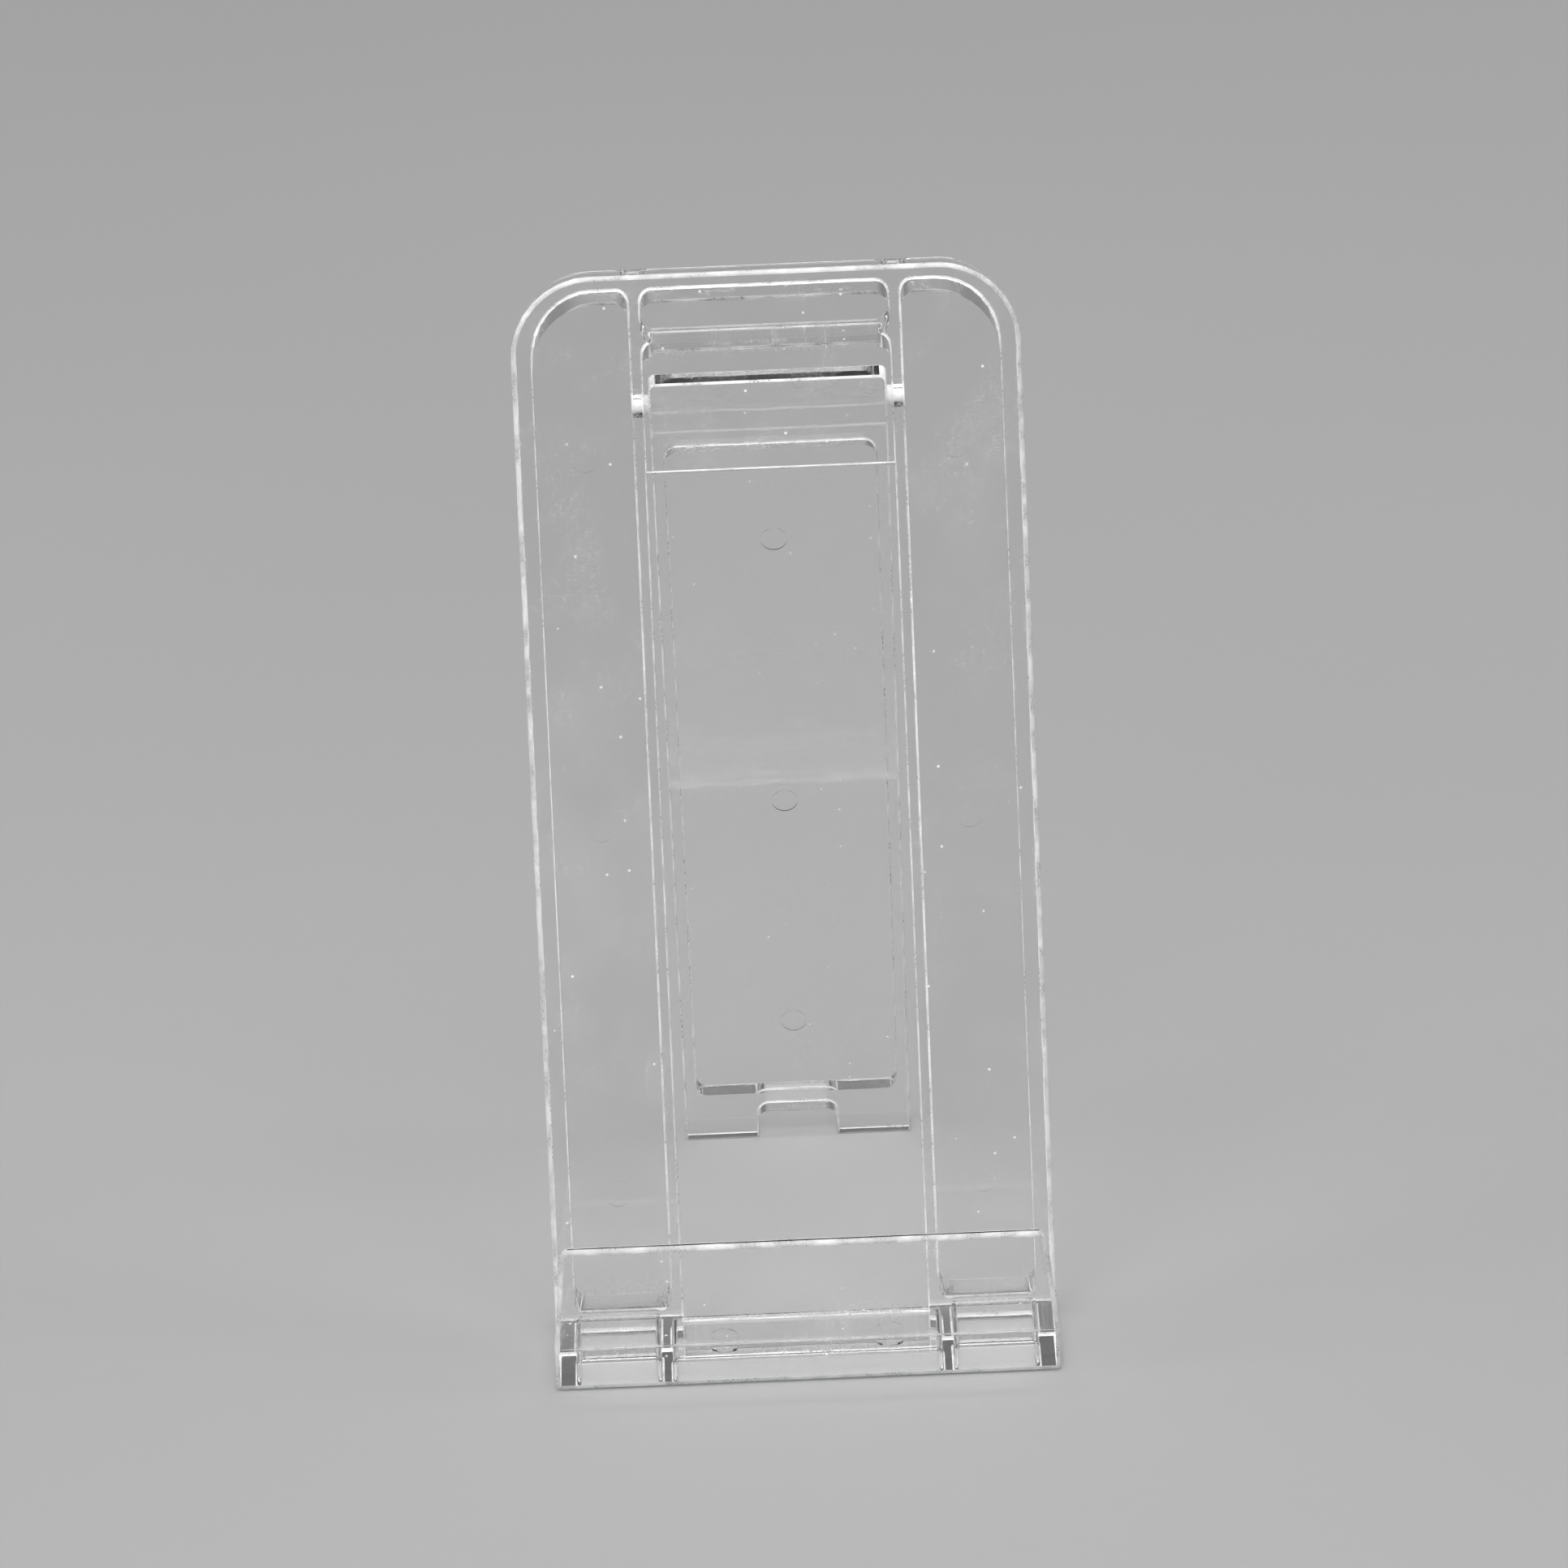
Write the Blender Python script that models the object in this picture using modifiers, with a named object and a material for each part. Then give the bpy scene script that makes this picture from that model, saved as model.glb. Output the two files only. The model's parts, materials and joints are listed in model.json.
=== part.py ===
"""Clear folding plate stand in two mouldings, standing open on Z = 0 with its front towards -Y.

The frame is one moulding: a front lip, a base that is hollow underneath and whose top is the shelf of
the plate trough, and a leaning back rest that is ribbed behind. The prop leg is the other. It turns on
two trunnions in the frame's inner ribs, and folds forward into the channel between them. A bevelled
heel stops it when it is open. The origin is on the table, at the middle of the stand's width and depth.
"""

import math

import bmesh
import bpy
from mathutils import Matrix, Vector

# General, in metres
WIDTH = 0.0610
WALL = 0.0014
GAP = 0.0003
FILLET = 0.0010
REAR_EDGE = 0.0006
ARC_STEPS = 8

# How far cutters reach past the solid, and how far outside its faces a rounding starts
BEYOND = 0.0050
SHY = 0.00005

# Front lip and the trough behind it
LIP_HEIGHT = 0.0190
LIP_TOP_WIDTH = 0.0583
LIP_CORNER = 0.0012
LIP_TOE = 0.0008
TROUGH = 0.0086

# Base: its top is the trough's shelf, with a hollow under each side, one in the middle, and a notch
SHELF = 0.0047
LIP_TAPER_START = SHELF + FILLET
SIDE_HOLLOW = 0.0037
MIDDLE_HOLLOW = 0.0033
MIDDLE_WIDTH = 0.0327
DIVIDER = 0.0013
REAR_WALL = 0.0018
HOLLOW_CORNER = 0.0008
NOTCH_FRONT = 0.0095

# Back rest: U runs up its front face from the floor, V runs backwards from that face
LEAN = math.radians(15.0)
BACK_LENGTH = 0.1270
BACK_CORNER = 0.0100
RIB_DEPTH = 0.0050
SIDE_RIB = 0.0025
INNER_RIB = 0.0015
TOP_RIB = 0.0022
POCKET_CORNER = 0.0015
WINDOW_WIDTH = 0.0297
WINDOW_TOP = 0.1030
HINGE_RIB = 0.0014

# Hinge and prop leg
PIVOT_U = 0.1110
PIVOT_V = 0.0037
PIN_RADIUS = 0.0012
PIN_SINK = 0.0002
SPREAD = math.radians(27.5)
LEG_LEAN = SPREAD - LEAN
LEG_WIDTH = 0.0285
LEG_THICKNESS = 0.0036
LEG_WALL = 0.0014
LEG_RIB = 0.0016
LEG_FOOT = 0.0070
LEG_HEAD = 0.0065
HINGE_ROOM = 0.0065
HEEL = 0.0032
HEEL_CORNER = 0.0008
FOOT_NOTCH_WIDTH = 0.0100
FOOT_NOTCH_HEIGHT = 0.0045

# Round marks that the mould's ejector pins leave, as (across, along) spots on the surface they push
MARK_RADIUS = 0.0016
MARK_DEPTH = 0.00015
SHELF_MARKS = [(-0.0100, 0.0055), (0.0100, 0.0055)]
BACK_MARKS = [(side * 0.0222, up) for side in (-1.0, 1.0) for up in (0.0150, 0.0600, 0.1050)]
LEG_MARKS = [(0.0, -0.0200), (0.0, -0.0600), (0.0, -0.0950)]

SHARP = math.radians(35.0)
SIDES = (("right", 1.0), ("left", -1.0))

X = Vector((1.0, 0.0, 0.0))
Y = Vector((0.0, 1.0, 0.0))
Z = Vector((0.0, 0.0, 1.0))
UP = Y * math.sin(LEAN) + Z * math.cos(LEAN)
BACK = Y * math.cos(LEAN) - Z * math.sin(LEAN)
LEG_UP = Z * math.cos(LEG_LEAN) - Y * math.sin(LEG_LEAN)

# Depth from the lip's front face to the back of the leg's feet, and from it the lip's place
FOOT_FROM_LIP = Y * (WALL + TROUGH) + Z * SHELF
PIVOT_FROM_LIP = FOOT_FROM_LIP + UP * PIVOT_U + BACK * PIVOT_V
LEG_REACH = PIVOT_FROM_LIP.z / math.cos(LEG_LEAN)
FOOT_BEHIND_PIVOT = LEG_REACH * math.sin(LEG_LEAN) + LEG_THICKNESS / 2.0 / math.cos(LEG_LEAN)
LIP = Y * (PIVOT_FROM_LIP.y + FOOT_BEHIND_PIVOT) / -2.0
FOOT = LIP + FOOT_FROM_LIP
PIVOT = LIP + PIVOT_FROM_LIP


def plane(origin, across, along):
    """The frame of a flat outline: its X is across, its Y is along, and it is extruded on its Z."""
    normal = across.cross(along)
    turn = Matrix((across, along, normal)).transposed().to_4x4()
    return Matrix.Translation(origin) @ turn


PLAN = plane(LIP, X, Y)
FRONT = plane(LIP, X, Z)
SIDE = plane(LIP, Y, Z)
REST = plane(FOOT, X, UP)
LEG = plane(PIVOT, X, LEG_UP)
HINGE = plane(PIVOT, Y, Z)


def clear_scene():
    for item in list(bpy.data.objects):
        bpy.data.objects.remove(item, do_unlink=True)


def new_collection(name, hidden):
    group = bpy.data.collections.new(name)
    bpy.context.scene.collection.children.link(group)
    group.hide_render = hidden
    return group


def rounded(corners):
    """Points of a closed outline from (across, along, radius) corners, each radius drawn as an arc."""
    points = []
    count = len(corners)
    for index, (across, along, radius) in enumerate(corners):
        here = Vector((across, along))
        if radius == 0.0:
            points.append(here)
            continue
        before = (Vector(corners[index - 1][:2]) - here).normalized()
        after = (Vector(corners[(index + 1) % count][:2]) - here).normalized()
        half = before.angle(after) / 2.0
        centre = here + (before + after).normalized() * (radius / math.sin(half))
        start = here + before * (radius / math.tan(half)) - centre
        turn = (math.pi - 2.0 * half) * (1.0 if before.cross(after) < 0.0 else -1.0)
        for step in range(ARC_STEPS + 1):
            points.append(centre + Matrix.Rotation(turn * step / ARC_STEPS, 2) @ start)
    return points


def box(left, right, low, high, radius=0.0):
    """Corners of an upright rectangle, all with one radius."""
    return [(left, low, radius), (right, low, radius), (right, high, radius), (left, high, radius)]


def mirrored(corners):
    """The same outline on the other side of the centre line."""
    return [(-across, along, radius) for across, along, radius in reversed(corners)]


def place(name, mesh, frame, group):
    """Welds the mesh, turns its faces outwards and puts it in its group."""
    body = bmesh.new()
    body.from_mesh(mesh)
    bmesh.ops.remove_doubles(body, verts=body.verts, dist=1e-7)
    bmesh.ops.recalc_face_normals(body, faces=body.faces)
    body.to_mesh(mesh)
    body.free()
    made = bpy.data.objects.new(name, mesh)
    made.matrix_world = frame
    group.objects.link(made)
    if group.hide_render:
        made.hide_render = True
        made.display_type = "WIRE"
    return made


def slab(name, outlines, low, high, frame, group):
    """Closed solid: flat outlines in the frame's plane, extruded on its normal from low to high."""
    curve = bpy.data.curves.new(name, "CURVE")
    curve.dimensions = "2D"
    curve.fill_mode = "BOTH"
    curve.extrude = (high - low) / 2.0
    for corners in outlines:
        points = rounded(corners)
        spline = curve.splines.new("POLY")
        spline.points.add(len(points) - 1)
        for knot, point in zip(spline.points, points):
            knot.co = (point.x, point.y, 0.0, 1.0)
        spline.use_cyclic_u = True
    drawn = bpy.data.objects.new(name + "_curve", curve)
    mesh = bpy.data.meshes.new_from_object(drawn)
    bpy.data.objects.remove(drawn)
    bpy.data.curves.remove(curve)
    mesh.name = name
    mesh.transform(Matrix.Translation((0.0, 0.0, (high + low) / 2.0)))
    return place(name, mesh, frame, group)


def rod(name, radius, low, high, frame, group):
    """Cylinder on the frame's normal, from low to high."""
    body = bmesh.new()
    middle = Matrix.Translation((0.0, 0.0, (low + high) / 2.0))
    bmesh.ops.create_cone(
        body, cap_ends=True, segments=48, radius1=radius, radius2=radius, depth=high - low, matrix=middle
    )
    mesh = bpy.data.meshes.new(name)
    body.to_mesh(mesh)
    body.free()
    return place(name, mesh, frame, group)


def core(name, left, right, front, rear, top):
    """Cutter for a hollow that is open underneath, with its other edges rounded."""
    made = slab(name, [box(front, rear, -BEYOND, top)], left, right, SIDE, cutters)
    edges = made.modifiers.new("Rounded edges", "BEVEL")
    edges.width = HOLLOW_CORNER
    edges.segments = 3
    return made


def combine(target, tool, operation="DIFFERENCE"):
    step = target.modifiers.new(operation.title() + "_" + tool.name, "BOOLEAN")
    step.operation = operation
    step.solver = "EXACT"
    step.object = tool


def trim_shoulders(target, name, start, corner, radius, low, high, frame):
    """Trims both sides of an upright plate from start up to a rounded corner. Sizes are for the right."""
    outer = WIDTH / 2.0 + BEYOND
    top = corner[1] + BEYOND
    right = [
        (*start, 0.0),
        (outer, start[1], 0.0),
        (outer, top, 0.0),
        (0.0, top, 0.0),
        (0.0, corner[1], 0.0),
        (*corner, radius),
    ]
    for side, outline in (("right", right), ("left", mirrored(right))):
        combine(target, slab(name + "_" + side, [outline], low, high, frame, cutters))


def pin_marks(target, name, spots, surface, into, frame):
    """Shallow round marks in a flat surface. Into is 1 or -1, the way into the material on its normal."""
    low, high = sorted((surface + into * MARK_DEPTH, surface - into * WALL))
    for index, (across, along) in enumerate(spots):
        spot = frame @ Matrix.Translation((across, along, 0.0))
        combine(target, rod(f"cut_{name}_mark_{index}", MARK_RADIUS, low, high, spot, cutters))


def clear_plastic(name):
    material = bpy.data.materials.new(name)
    material.use_nodes = True
    shader = material.node_tree.nodes["Principled BSDF"]
    shader.inputs["Base Color"].default_value = (0.93, 0.95, 0.96, 1.0)
    shader.inputs["Metallic"].default_value = 0.0
    shader.inputs["Roughness"].default_value = 0.06
    shader.inputs["IOR"].default_value = 1.53
    shader.inputs["Transmission Weight"].default_value = 1.0
    return material


def dress(target, material):
    """Gives the moulding its plastic, and shades its rounded corners smooth."""
    target.data.materials.append(material)
    target.data.shade_smooth()
    target.data.set_sharp_from_angle(angle=SHARP)


def blank_frame():
    """Lip, base and back rest, all solid: one side profile across the full width."""
    top_front = FOOT_FROM_LIP + UP * BACK_LENGTH
    top_rear = top_front + BACK * (WALL + RIB_DEPTH)
    rear_low = top_rear - UP * (top_rear.z / UP.z)
    profile = [
        (0.0, 0.0, LIP_TOE),
        (rear_low.y, 0.0, REAR_EDGE),
        (top_rear.y, top_rear.z, 0.0),
        (top_front.y, top_front.z, 0.0),
        (FOOT_FROM_LIP.y, FOOT_FROM_LIP.z, FILLET),
        (WALL, SHELF, FILLET),
        (WALL, LIP_HEIGHT, 0.0),
        (0.0, LIP_HEIGHT, 0.0),
    ]
    return slab("stand_frame", [profile], -WIDTH / 2.0, WIDTH / 2.0, SIDE, parts)


def shape_outline(frame):
    """The lip tapers up to small rounded corners, and the back rest has large ones."""
    half = WIDTH / 2.0
    lip_half = LIP_TOP_WIDTH / 2.0
    taper = (half - lip_half) / (LIP_HEIGHT - LIP_TAPER_START)
    start = (half + taper * BEYOND, LIP_TAPER_START - BEYOND)
    corner = (lip_half - taper * SHY, LIP_HEIGHT + SHY)
    trim_shoulders(frame, "cut_lip", start, corner, LIP_CORNER, -WALL - FILLET, BEYOND, FRONT)
    start = (half + SHY, BACK_LENGTH - BACK_CORNER * 2.0)
    corner = (half + SHY, BACK_LENGTH + SHY)
    rear = -WALL - RIB_DEPTH - BEYOND
    trim_shoulders(frame, "cut_shoulder", start, corner, BACK_CORNER, rear, BEYOND, REST)


def hollow_back(frame):
    """Pockets between the ribs, the channel that the leg folds into, and the window down to the shelf."""
    half = WIDTH / 2.0
    inner = WINDOW_WIDTH / 2.0
    thick = WALL + RIB_DEPTH
    roof = (FOOT + UP * (BACK_LENGTH - TOP_RIB) + BACK * thick).z
    hinge_roof = PIVOT.z + HINGE_ROOM
    side_pocket = [
        (inner + INNER_RIB, SHELF, POCKET_CORNER),
        (half - SIDE_RIB, SHELF, POCKET_CORNER),
        (half - SIDE_RIB, roof, BACK_CORNER - SIDE_RIB),
        (inner + INNER_RIB, roof, POCKET_CORNER),
    ]
    channel = [
        (-inner, -BEYOND, 0.0),
        (inner, -BEYOND, 0.0),
        (inner, hinge_roof, POCKET_CORNER),
        (-inner, hinge_roof, POCKET_CORNER),
    ]
    top_pocket = box(-inner, inner, hinge_roof + HINGE_RIB, roof, POCKET_CORNER)
    outlines = [side_pocket, mirrored(side_pocket), channel, top_pocket]

    # The outlines are drawn upright, so that the pockets' floors are level, and kept behind the web
    pockets = slab("cut_pockets", outlines, -BACK_LENGTH, 0.0, FRONT, cutters)
    behind = box(-WIDTH, WIDTH, -BACK_LENGTH, BACK_LENGTH * 2.0)
    behind_web = slab("cut_behind_web", [behind], -BACK_LENGTH, -WALL, REST, cutters)
    combine(pockets, behind_web, "INTERSECT")
    combine(frame, pockets)
    window = box(-inner, inner, GAP, WINDOW_TOP)
    combine(frame, slab("cut_window", [window], -thick - BEYOND, BEYOND, REST, cutters))


def hollow_base(frame):
    """Hollows under the shelf, and the notch that carries the window and the channel down through it."""
    half = WIDTH / 2.0
    middle = MIDDLE_WIDTH / 2.0
    rear = WALL + TROUGH + RIB_DEPTH
    for name, side in SIDES:
        left, right = sorted((side * (middle + DIVIDER), side * (half - SIDE_RIB)))
        combine(frame, core("cut_hollow_" + name, left, right, WALL, rear - REAR_WALL, SIDE_HOLLOW))
    combine(frame, core("cut_hollow_middle", -middle, middle, WALL, NOTCH_FRONT + WALL, MIDDLE_HOLLOW))
    inner = WINDOW_WIDTH / 2.0
    notch = box(-inner, inner, NOTCH_FRONT, rear + BEYOND)
    combine(frame, slab("cut_notch", [notch], -BEYOND, SHELF + FILLET, PLAN, cutters))


def make_frame():
    frame = blank_frame()
    shape_outline(frame)
    hollow_back(frame)
    hollow_base(frame)

    pin_marks(frame, "shelf", SHELF_MARKS, MIDDLE_HOLLOW, 1.0, PLAN)
    pin_marks(frame, "back", BACK_MARKS, -WALL, 1.0, REST)

    # Sockets of the trunnions, through the inner ribs
    near = WINDOW_WIDTH / 2.0 - INNER_RIB
    far = WINDOW_WIDTH / 2.0 + INNER_RIB * 2.0
    for name, side in SIDES:
        left, right = sorted((side * near, side * far))
        combine(frame, rod("cut_socket_" + name, PIN_RADIUS + GAP, left, right, HINGE, cutters))
    dress(frame, clear_plastic("clear_frame_plastic"))
    return frame


def make_leg():
    """Prop leg, drawn open. Its web faces forwards, between ribs that point backwards."""
    half = LEG_WIDTH / 2.0
    thick = LEG_THICKNESS / 2.0
    low = -LEG_REACH - BEYOND
    outline = [
        (-half, low, 0.0),
        (half, low, 0.0),
        (half, HEEL, HEEL_CORNER),
        (-half, HEEL, HEEL_CORNER),
    ]
    leg = slab("prop_leg", [outline], -thick, thick, LEG, parts)

    # Trunnions on both sides of the head
    near = half - LEG_RIB
    far = WINDOW_WIDTH / 2.0 + INNER_RIB - PIN_SINK
    for name, side in SIDES:
        left, right = sorted((side * near, side * far))
        combine(leg, rod("join_trunnion_" + name, PIN_RADIUS, left, right, HINGE, cutters), "UNION")

    # Hollow behind the web, and the notch between the two feet
    hollow = box(-half + LEG_RIB, half - LEG_RIB, LEG_FOOT - LEG_REACH, -LEG_HEAD, POCKET_CORNER)
    combine(leg, slab("cut_leg_hollow", [hollow], -BEYOND, thick - LEG_WALL, LEG, cutters))
    pin_marks(leg, "leg", LEG_MARKS, thick - LEG_WALL, 1.0, LEG)
    notch_half = FOOT_NOTCH_WIDTH / 2.0
    notch = box(-notch_half, notch_half, low - BEYOND, FOOT_NOTCH_HEIGHT - LEG_REACH, POCKET_CORNER)
    combine(leg, slab("cut_leg_notch", [notch], -BEYOND, BEYOND, LEG, cutters))

    # Feet cut level with the table
    under = box(-WIDTH, WIDTH, 0.0, WIDTH * 2.0)
    combine(leg, slab("cut_leg_level", [under], -WIDTH, 0.0, PLAN, cutters))

    # Heel bevelled to meet the back of the frame's web when the leg is open
    heel = box(-WIDTH, WIDTH, PIVOT_U - WIDTH / 2.0, PIVOT_U + WIDTH / 2.0)
    combine(leg, slab("cut_leg_heel", [heel], -WALL - GAP, WIDTH, REST, cutters))
    dress(leg, clear_plastic("clear_leg_plastic"))
    return leg


def hang_on_hinge(leg):
    """Parents the leg to an empty on the hinge axis."""
    hinge = bpy.data.objects.new("prop_hinge", None)
    hinge.location = PIVOT
    hinge.empty_display_size = WALL * 4.0
    parts.objects.link(hinge)
    leg.parent = hinge
    leg.matrix_parent_inverse = Matrix.Translation(-PIVOT)


clear_scene()
parts = new_collection("plate_stand", hidden=False)
cutters = new_collection("cutters", hidden=True)
make_frame()
hang_on_hinge(make_leg())
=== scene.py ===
import json
import math

import bmesh
import bpy
from mathutils import Matrix, Vector
from mathutils.kdtree import KDTree


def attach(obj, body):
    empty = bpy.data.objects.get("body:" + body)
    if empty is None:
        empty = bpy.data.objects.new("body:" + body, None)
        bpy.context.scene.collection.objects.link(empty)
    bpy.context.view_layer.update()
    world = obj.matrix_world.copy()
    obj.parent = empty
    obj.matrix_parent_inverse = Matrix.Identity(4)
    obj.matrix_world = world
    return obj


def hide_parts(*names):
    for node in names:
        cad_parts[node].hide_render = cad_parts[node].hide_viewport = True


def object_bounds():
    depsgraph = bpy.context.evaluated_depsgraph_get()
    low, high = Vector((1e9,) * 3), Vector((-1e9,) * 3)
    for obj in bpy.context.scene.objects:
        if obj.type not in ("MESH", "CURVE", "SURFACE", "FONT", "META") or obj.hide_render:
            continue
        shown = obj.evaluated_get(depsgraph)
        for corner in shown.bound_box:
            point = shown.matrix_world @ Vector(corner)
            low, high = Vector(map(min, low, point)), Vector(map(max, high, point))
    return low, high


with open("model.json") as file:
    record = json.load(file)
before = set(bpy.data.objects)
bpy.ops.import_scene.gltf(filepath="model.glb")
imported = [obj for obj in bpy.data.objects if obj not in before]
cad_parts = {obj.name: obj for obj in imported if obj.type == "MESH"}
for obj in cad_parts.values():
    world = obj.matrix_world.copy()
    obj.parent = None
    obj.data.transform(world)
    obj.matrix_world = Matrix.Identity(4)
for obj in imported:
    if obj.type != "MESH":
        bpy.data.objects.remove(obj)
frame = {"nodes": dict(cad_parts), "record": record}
cad_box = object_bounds()

# Looks of the clear folding plate stand. Each moulding is a copy of its CAD solid whose outer edges are
# rounded as a mould leaves them, in clear plastic with handling marks. Sizes are in metres.

X = Vector((1.0, 0.0, 0.0))
Z = Vector((0.0, 0.0, 1.0))

# Rounding of the mouldings' edges: round the frame's outline, and everywhere else
OUTER_EDGE = 0.00055
INNER_EDGE = 0.00022
ROUND_STEPS = 4

# Least turn of an edge that is rounded, and least depth of the faces beside it
SHARP = math.radians(32.0)
SHALLOW = 0.00025

# A face is part of the outline if it faces sideways or up, and nothing this near stands out beyond it
SIDEWAYS = 0.5
NEAR = 0.006
BEYOND = 0.00002

# Cleaning of the CAD mesh: corners this near are one, and faces this level are one flat
WELD = 1e-6
FLAT = math.radians(0.5)

# Two cuts this near, in turn and in place, are one cut
SAME_TURN = 0.01
SAME_PLACE = 1e-5

# The ejector pins' round marks have more corners than this, and less area
MARK_CORNERS = 24
MARK_AREA = 9.0e-6

# Greatest width and least turn of a facet, where the CAD has a rounded edge already
FACET_WIDTH = 0.0004
FACET_TURN = math.radians(2.0)

# Places of the two plastics in a mesh's list of materials
POLISHED_SLOT = 0
FROST_AND_GLINT_SLOT = 1

# Clear plastic
PLASTIC_COLOUR = (0.996, 0.997, 0.997, 1.0)
PLASTIC_IOR = 1.53
TINT = (0.80, 0.81, 0.815, 1.0)
TINT_DENSITY = 4.0
# White of dust specks, scratches and smudges, and of the frost on rounded edges, which is partly real
# frosting and partly a painted edge highlight
DUST_AND_GLINT_COLOUR = (0.94, 0.94, 0.935, 1.0)

# Roughness of polished faces, and what rubbed edges, smudges, scratches and frost add to it
POLISHED = 0.012
RUBBED_ROUGHNESS = 0.06
SMUDGE_ROUGHNESS = 0.03
SCRATCH_ROUGHNESS = 0.22
FROST_ROUGHNESS = 0.40

# How whitish each kind of wear is. Frost whitens the rounded edges, partly as real frosting and partly as a
# painted edge highlight.
SPECK_WHITE = 0.75
SCRATCH_WHITE = 0.12
SMUDGE_WHITE = 0.025
FROST_AND_GLINT_WHITE = 0.95

# Scratches as (noise scale, turn), stretched one way. They come in patches of a coarser noise.
# All noise scales are per metre.
SCRATCHES = ((900.0, 0.6), (1300.0, -0.9))
SCRATCH_STRETCH = (1.0, 0.035, 1.0)
SCRATCH_WIDTH = 0.012
PATCH_SCALE = 0.12
PATCH_RANGE = (0.52, 0.66)

# Other wear and moulding marks. A range starts with the noise values that give least and most of it.
# Frost and the breaks in it then have the least and the most.
SMUDGES = 55.0
SMUDGE_RANGE = (0.50, 0.72)
# Frost on the rounded edges, broken into dashes: its roughness is real, its white is partly real frosting
# and partly a painted edge highlight
FROST = 3000.0
FROST_RANGE = (0.35, 0.65, 0.75, 1.0)
BREAKS = 330.0
BREAK_RANGE = (0.36, 0.66, 0.58, 1.0)
FLOW = 120.0
GRAIN = 2600.0
SPECKS = 420.0
SPECK_SIZE = 0.10
SPECK_CHANCE = (0.80, 0.82)

# Bump as (distance, strength). Rubbed edges have more grain.
FLOW_BUMP = (0.00012, 0.35)
SCRATCH_BUMP = (0.00001, 0.5)
GRAIN_DEPTH = 0.00003
GRAIN_POLISHED = 0.04
GRAIN_RUBBED = 0.2

# Light that a shadow ray keeps at each surface, and how much less at a rubbed edge
PASSED = 0.86
PASSED_LESS = 0.34

# Sweep paper. Its shade's range ends with the darkest and the palest grey.
PAPER_SHADE = 2.5
PAPER_SHADE_RANGE = (0.3, 0.7, 0.38, 0.40)
PAPER_ROUGHNESS = 0.85
PAPER_FIBRE = 900.0
PAPER_BUMP = (0.00005, 0.3)

# Camera: a little above the stand, and not quite level. The sensor's width is in millimetres.
CAMERA_DISTANCE = 1.12
CAMERA_RISE = math.radians(25.0)
CAMERA_ROLL = math.radians(-2.4)
FRAME_FILL = 0.76
CAMERA_NEAREST = 0.01
SENSOR = 36.0

# Studio sweep: level from front to back, then a curve of this radius, then upright to this height
SWEEP_WIDTH = 9.0
SWEEP_FRONT = -4.0
SWEEP_BACK = 1.1
SWEEP_RADIUS = 0.6
SWEEP_HEIGHT = 2.4
SWEEP_STEPS = 24

# Softboxes as (name, place, size, watts). They face the stand, apart from those in AIMS.
SOFTBOXES = (
    ("overhead_softbox", (0.0, -0.35, 1.15), (1.0, 0.6), 8.2),
    ("front_softbox", (-0.45, -1.75, 1.25), (1.8, 1.4), 15.0),
    ("backdrop_wash", (0.0, 0.6, 2.1), (1.6, 0.3), 12.0),
    ("left_softbox", (-1.3, -0.2, 0.7), (0.4, 1.0), 5.0),
    ("right_softbox", (1.3, -0.1, 0.6), (0.3, 0.9), 3.5),
)
AIMS = {"backdrop_wash": (0.0, 1.7, 0.7)}
ROOM_COLOUR = (1.0, 1.0, 1.0, 1.0)
ROOM_STRENGTH = 0.20
BOUNCES = 24


class Shader:
    """A material's node tree, with short calls to add and join its nodes."""

    def __init__(self, name):
        self.material = bpy.data.materials.new(name)
        self.material.use_nodes = True
        self.tree = self.material.node_tree
        self.tree.nodes.clear()
        self.place = self.node("ShaderNodeTexCoord").outputs["Object"]

    def node(self, kind, settings=None, **inputs):
        made = self.tree.nodes.new(kind)
        for name, value in (settings or {}).items():
            setattr(made, name, value)
        for name, value in inputs.items():
            socket = made.inputs[name.replace("_", " ")]
            self.join(value, socket)
        return made

    def join(self, value, socket):
        if isinstance(value, bpy.types.NodeSocket):
            self.tree.links.new(value, socket)
        else:
            socket.default_value = value

    def maths(self, operation, *values):
        made = self.node("ShaderNodeMath", {"operation": operation})
        for value, socket in zip(values, made.inputs):
            self.join(value, socket)
        return made.outputs[0]

    def ramp(self, value, low, high, to_low=0.0, to_high=1.0):
        """Maps low..high to to_low..to_high, smoothly and clamped."""
        made = self.node("ShaderNodeMapRange", {"interpolation_type": "SMOOTHSTEP"})
        for number, socket in zip((value, low, high, to_low, to_high), made.inputs):
            self.join(number, socket)
        return made.outputs[0]

    def noise(self, scale, detail=2.0, stretch=(1.0, 1.0, 1.0), turn=0.0):
        where = self.node("ShaderNodeMapping", Vector=self.place, Scale=stretch, Rotation=(turn, turn, turn))
        made = self.node("ShaderNodeTexNoise", Vector=where.outputs[0], Scale=scale, Detail=detail)
        return made.outputs["Fac"]

    def bump(self, height, distance, strength, under=None):
        made = self.node("ShaderNodeBump", Height=height, Distance=distance, Strength=strength)
        if under is not None:
            self.join(under, made.inputs["Normal"])
        return made.outputs["Normal"]

    def total(self, start, *parts):
        """Start plus each (value, share) part's value times its share."""
        for value, share in parts:
            start = self.maths("ADD", start, self.maths("MULTIPLY", value, share))
        return start

    def mix(self, share, first, second):
        made = self.node("ShaderNodeMixShader", Fac=share)
        self.join(first.outputs[0], made.inputs[1])
        self.join(second.outputs[0], made.inputs[2])
        return made

    def finish(self, surface, volume=None):
        out = self.node("ShaderNodeOutputMaterial", Surface=surface.outputs[0])
        if volume is not None:
            self.join(volume.outputs[0], out.inputs["Volume"])
        return self.material


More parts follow.
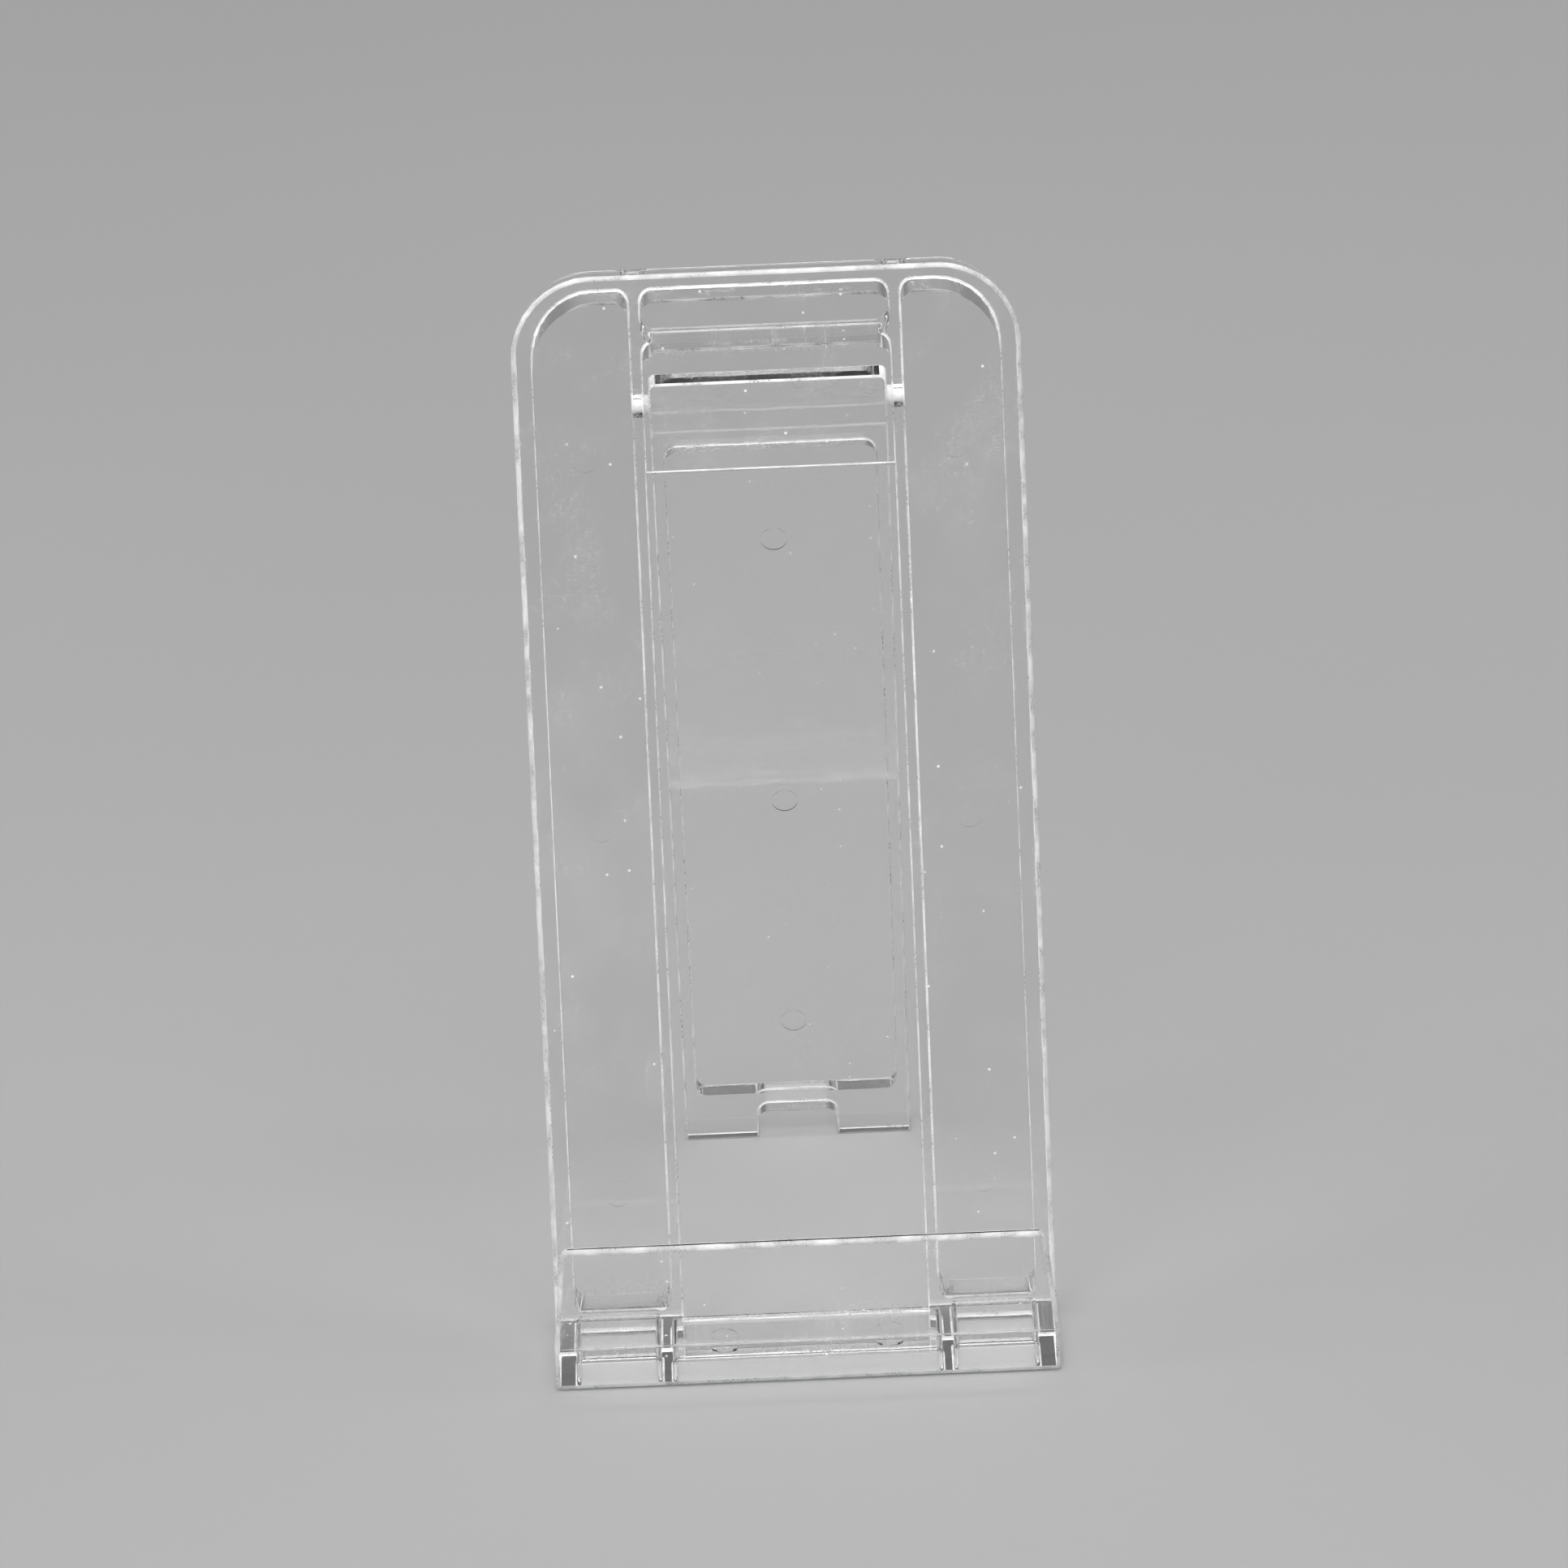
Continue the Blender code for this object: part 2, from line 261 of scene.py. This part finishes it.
def scratches(look, scale, turn):
    """Thin broken lines, long one way, as handling leaves them."""
    lines = look.noise(scale, stretch=SCRATCH_STRETCH, turn=turn)
    patches = look.ramp(look.noise(scale * PATCH_SCALE, detail=1.0), *PATCH_RANGE)
    off_centre = look.maths("ABSOLUTE", look.maths("SUBTRACT", lines, 0.5))
    thin = look.ramp(off_centre, 0.0, SCRATCH_WIDTH, 1.0, 0.0)
    return look.maths("MULTIPLY", thin, patches)


def specks(look):
    """Scattered dust specks. Only a part of the cells hold one."""
    cell = look.node("ShaderNodeTexVoronoi", Vector=look.place, Scale=SPECKS)
    chance = look.node("ShaderNodeSeparateColor", Color=cell.outputs["Color"]).outputs[0]
    there = look.ramp(chance, *SPECK_CHANCE)
    spot = look.ramp(cell.outputs["Distance"], SPECK_SIZE * 0.5, SPECK_SIZE, 1.0, 0.0)
    return look.maths("MULTIPLY", there, spot)


def clear_plastic(name, rounded_edge):
    """Clear moulded plastic. The second argument is how frosted it is, from 0 on polished faces to 1 on
    rounded edges, whose frosted white is partly real and partly a painted edge highlight.
    """
    look = Shader(name)
    handling = look.maths("MAXIMUM", *[scratches(look, scale, turn) for scale, turn in SCRATCHES])
    smudges = look.ramp(look.noise(SMUDGES, detail=3.0), *SMUDGE_RANGE)
    frost = look.ramp(look.noise(FROST, detail=3.0), *FROST_RANGE)
    breaks = look.ramp(look.noise(BREAKS, detail=3.0), *BREAK_RANGE)
    # Mask of the edge frost, which adds roughness and a white that is partly a painted highlight along the
    # edges
    edge_frost_and_glint = look.maths("MULTIPLY", look.maths("MULTIPLY", frost, breaks), rounded_edge)
    roughness = look.total(
        POLISHED + RUBBED_ROUGHNESS * rounded_edge,
        (smudges, SMUDGE_ROUGHNESS),
        (handling, SCRATCH_ROUGHNESS),
        (edge_frost_and_glint, FROST_ROUGHNESS),
    )

    normal = look.bump(look.noise(FLOW, detail=1.0), *FLOW_BUMP)
    normal = look.bump(handling, *SCRATCH_BUMP, normal)
    grain = look.noise(GRAIN)
    normal = look.bump(grain, GRAIN_DEPTH, GRAIN_POLISHED + GRAIN_RUBBED * rounded_edge, normal)
    body = look.node(
        "ShaderNodeBsdfPrincipled",
        Base_Color=PLASTIC_COLOUR,
        Roughness=roughness,
        IOR=PLASTIC_IOR,
        Transmission_Weight=1.0,
        Normal=normal,
    )

    # Diffuse white for dust, scratches, smudges and the edge frost; on the edges it is partly a painted
    # highlight
    dust_and_glint = look.node("ShaderNodeBsdfDiffuse", Color=DUST_AND_GLINT_COLOUR)
    whitish = look.total(
        look.maths("MULTIPLY", specks(look), SPECK_WHITE),
        (handling, SCRATCH_WHITE),
        (smudges, SMUDGE_WHITE),
        (edge_frost_and_glint, FROST_AND_GLINT_WHITE),
    )
    coated = look.mix(whitish, body, dust_and_glint)

    # Light passes to the table through the clear walls, so the shadow is pale, and darker under the edges
    passed = PASSED - PASSED_LESS * rounded_edge
    through = look.node("ShaderNodeBsdfTransparent", Color=(passed, passed, passed, 1.0))
    shown = look.mix(look.node("ShaderNodeLightPath").outputs["Is Shadow Ray"], coated, through)
    tint = look.node("ShaderNodeVolumeAbsorption", Color=TINT, Density=TINT_DENSITY)
    return look.finish(shown, tint)


def sweep_paper():
    """Pale grey seamless paper, faintly fibrous."""
    look = Shader("studio_sweep_paper")
    paper = look.node(
        "ShaderNodeBsdfPrincipled",
        Base_Color=look.ramp(look.noise(PAPER_SHADE), *PAPER_SHADE_RANGE),
        Roughness=PAPER_ROUGHNESS,
        Normal=look.bump(look.noise(PAPER_FIBRE, detail=4.0), *PAPER_BUMP),
    )
    return look.finish(paper)


def is_outline(face, corners):
    """True for a face round the outline of a moulding: nothing near it stands out beyond it."""
    here = face.verts[0].co
    inwards = face.normal.x * here.x < -BEYOND
    if inwards or abs(face.normal.y) > SIDEWAYS or face.normal.z < -SIDEWAYS:
        return False
    for vert in face.verts:
        for spot, _, _ in corners.find_range(vert.co, NEAR):
            if (spot - here).dot(face.normal) > BEYOND:
                return False
    return True


def depth(face, edge):
    """How far a face reaches from one of its edges."""
    start, end = (vert.co for vert in edge.verts)
    along = (end - start).normalized()
    return max((vert.co - start).cross(along).length for vert in face.verts)


def rounding(edge, outline, outer):
    """An edge's share of the full rounding, from 0 to 1. Outer is the size of the outline's rounding."""
    if not edge.is_convex or edge.calc_face_angle() < SHARP:
        return 0.0
    if min(depth(face, edge) for face in edge.link_faces) < SHALLOW:
        return 0.0
    return (outer if outline.intersection(edge.link_faces) else INNER_EDGE) / OUTER_EDGE


def flat_cuts(body):
    """Planes as (point, normal): through the middle, through the hinge and across every round mark."""
    planes = [(Vector(), X)]
    for joint in frame["record"]["behaviour"]["joints"]:
        planes.append((Vector(joint["pos_m"]), Z))
    for face in body.faces:
        if len(face.verts) > MARK_CORNERS and face.calc_area() < MARK_AREA:
            planes.append((face.calc_center_median(), face.normal.cross(X)))
    return planes


def same_plane(plane, other):
    (point, normal), (spot, facing) = plane, other
    turned = normal.cross(facing).length
    return turned < SAME_TURN and abs((point - spot).dot(normal)) < SAME_PLACE


def cut_flats(body):
    """Cuts the solid so that no flat has a hole in it, and marks the cuts as seams.

    A flat's cuts then meet its outline squarely, which keeps the rounding even.
    """
    done = []
    for plane in flat_cuts(body):
        if any(same_plane(plane, other) for other in done):
            continue
        done.append(plane)
        point, normal = plane
        every = body.verts[:] + body.edges[:] + body.faces[:]
        made = bmesh.ops.bisect_plane(body, geom=every, dist=WELD, plane_co=point, plane_no=normal)
        for part in made["geom_cut"]:
            if isinstance(part, bmesh.types.BMEdge):
                part.seam = True


def is_edge_facet(face):
    """True for a facet of a rounded convex edge."""
    long_edges = sorted(face.edges, key=lambda edge: -edge.calc_length())[:2]
    if face.calc_area() / long_edges[0].calc_length() > FACET_WIDTH:
        return False
    turns = [edge.calc_face_angle_signed(0.0) for edge in long_edges]
    return all(FACET_TURN < turn < SHARP for turn in turns)


def make_flats_whole(body, **limits):
    bmesh.ops.dissolve_limit(body, angle_limit=FLAT, verts=body.verts, edges=body.edges, **limits)


def mark_edges(body, outer):
    """Gives each edge its share of the rounding, as the Bevel modifier reads it."""
    corners = KDTree(len(body.verts))
    for index, vert in enumerate(body.verts):
        corners.insert(vert.co, index)
    corners.balance()
    outline = {face for face in body.faces if is_outline(face, corners)}
    weight = body.edges.layers.float.new("bevel_weight_edge")
    for edge in body.edges:
        edge[weight] = rounding(edge, outline, outer)


def rounded_copy(node, outer):
    """The CAD solid's mesh with its flats made whole and its convex edges marked for rounding."""
    body = bmesh.new()
    body.from_mesh(frame["nodes"][node].data)
    bmesh.ops.remove_doubles(body, verts=body.verts, dist=WELD)
    for layer in list(body.loops.layers.uv.values()):
        body.loops.layers.uv.remove(layer)
    make_flats_whole(body)
    cut_flats(body)
    make_flats_whole(body, delimit={"SEAM"})
    mark_edges(body, outer)
    # Facets of the CAD's own rounded edges get the frosted plastic, whose white is partly a painted edge
    # highlight
    for face in body.faces:
        face.material_index = FROST_AND_GLINT_SLOT if is_edge_facet(face) else POLISHED_SLOT
    mesh = bpy.data.meshes.new(node + "_moulding")
    body.to_mesh(mesh)
    body.free()
    for name in ("custom_normal", "sharp_edge"):
        if name in mesh.attributes:
            mesh.attributes.remove(mesh.attributes[name])
    return mesh


def moulding(name, node, body, outer):
    """Stands for a CAD node: the rounded copy, in polished plastic with frosted edges, whose white is partly
    real frosting and partly a painted edge highlight.
    """
    mesh = rounded_copy(node, outer)
    mesh.materials.append(clear_plastic(name + "_polished", 0.0))
    mesh.materials.append(clear_plastic(name + "_frost_and_glint_edge", 1.0))
    mesh.shade_smooth()
    made = bpy.data.objects.new(name, mesh)
    bpy.context.scene.collection.objects.link(made)
    bevel = made.modifiers.new("Moulded edges", "BEVEL")
    bevel.limit_method = "WEIGHT"
    bevel.width = OUTER_EDGE
    bevel.segments = ROUND_STEPS
    bevel.use_clamp_overlap = False
    # The rounding's facets get the frosted plastic, whose white is partly a painted edge highlight
    bevel.material = FROST_AND_GLINT_SLOT
    apply_modifiers(made)
    made.data.set_sharp_from_angle(angle=SHARP)
    level = made.modifiers.new("Level flats", "WEIGHTED_NORMAL")
    level.keep_sharp = True
    apply_modifiers(made)
    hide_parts(node)
    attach(made, body)


def apply_modifiers(made):
    graph = bpy.context.evaluated_depsgraph_get()
    before = made.data
    made.data = bpy.data.meshes.new_from_object(made.evaluated_get(graph))
    made.data.name = before.name
    made.modifiers.clear()
    bpy.data.meshes.remove(before)


def studio_sweep():
    """Floor that curves up into the backdrop."""
    profile = [(SWEEP_FRONT, 0.0), (SWEEP_BACK, 0.0)]
    for step in range(1, SWEEP_STEPS + 1):
        turn = math.pi / 2.0 * step / SWEEP_STEPS
        along = SWEEP_BACK + SWEEP_RADIUS * math.sin(turn)
        profile.append((along, SWEEP_RADIUS * (1.0 - math.cos(turn))))
    profile.append((SWEEP_BACK + SWEEP_RADIUS, SWEEP_HEIGHT))
    body = bmesh.new()
    rows = []
    for along, up in profile:
        rows.append([body.verts.new((side * SWEEP_WIDTH / 2.0, along, up)) for side in (-1.0, 1.0)])
    for low, high in zip(rows, rows[1:]):
        body.faces.new((low[0], low[1], high[1], high[0]))
    mesh = bpy.data.meshes.new("studio_sweep")
    body.to_mesh(mesh)
    body.free()
    mesh.materials.append(sweep_paper())
    mesh.shade_smooth()
    sweep = bpy.data.objects.new("studio_sweep", mesh)
    bpy.context.scene.collection.objects.link(sweep)


def softbox(name, place, size, power, target):
    lamp = bpy.data.lights.new(name, "AREA")
    lamp.shape = "RECTANGLE"
    lamp.size = size[0]
    lamp.size_y = size[1]
    lamp.energy = power
    made = bpy.data.objects.new(name, lamp)
    made.location = place
    made.rotation_euler = (Vector(target) - Vector(place)).to_track_quat("-Z", "Y").to_euler()
    bpy.context.scene.collection.objects.link(made)


def studio_light(target):
    for name, place, size, power in SOFTBOXES:
        softbox(name, place, size, power, AIMS.get(name, target))
    world = bpy.data.worlds.new("studio_room")
    world.use_nodes = True
    room = world.node_tree.nodes["Background"]
    room.inputs["Color"].default_value = ROOM_COLOUR
    room.inputs["Strength"].default_value = ROOM_STRENGTH
    bpy.context.scene.world = world


def photo_camera():
    """Camera in front of the stand, with the whole stand in the frame. Returns the point it faces."""
    low, high = cad_box
    centre = (low + high) / 2.0
    back = Vector((0.0, -math.cos(CAMERA_RISE), math.sin(CAMERA_RISE)))
    tall = (high.z - low.z) * math.cos(CAMERA_RISE) + (high.y - low.y) * math.sin(CAMERA_RISE)
    lens = bpy.data.cameras.new("photo_camera")
    lens.sensor_width = SENSOR
    lens.lens = SENSOR * CAMERA_DISTANCE * FRAME_FILL / tall
    lens.clip_start = CAMERA_NEAREST
    made = bpy.data.objects.new("photo_camera", lens)
    look = (-back).to_track_quat("-Z", "Y").to_matrix().to_4x4()
    place = Matrix.Translation(centre + back * CAMERA_DISTANCE)
    made.matrix_world = place @ look @ Matrix.Rotation(CAMERA_ROLL, 4, "Z")
    bpy.context.scene.collection.objects.link(made)
    bpy.context.scene.camera = made
    return centre


def tone_and_bounces():
    scene = bpy.context.scene
    scene.view_settings.view_transform = "Standard"
    scene.cycles.max_bounces = BOUNCES
    scene.cycles.transmission_bounces = BOUNCES
    scene.cycles.transparent_max_bounces = BOUNCES


moulding("frame_moulding", "stand_frame", "frame", OUTER_EDGE)
moulding("leg_moulding", "prop_leg", "leg", INNER_EDGE)
studio_sweep()
studio_light(photo_camera())
tone_and_bounces()
